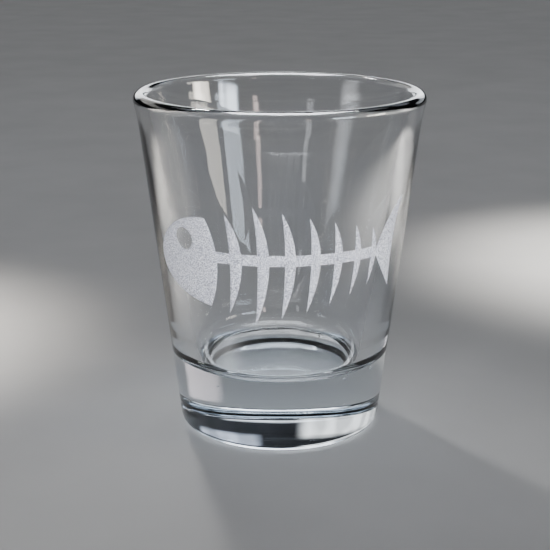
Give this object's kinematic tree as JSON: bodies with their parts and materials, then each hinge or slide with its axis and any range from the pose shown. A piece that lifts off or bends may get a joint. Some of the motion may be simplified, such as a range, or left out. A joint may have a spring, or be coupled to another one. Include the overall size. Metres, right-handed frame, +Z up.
{
  "type": "shot glass",
  "caption": "Clear heavy-based shot glass with a tapered wall, a rounded lip and a frosted fish skeleton etched round its front.",
  "frame": {"origin": "middle of the foot, on the surface that the glass stands on", "axes": "+Z up through the mouth; the etched fish is centred on -Y, with its head towards -X"},
  "size_m": [0.0508, 0.0508, 0.0603],
  "materials": {
    "clear_glass": "fire-polished, clear",
    "etched_frost": "etched, fine-grained frost"
  },
  "bodies": {
    "root": {"glass_body": "clear_glass", "etched_fishbone": "etched_frost"}
  },
  "joints": []
}
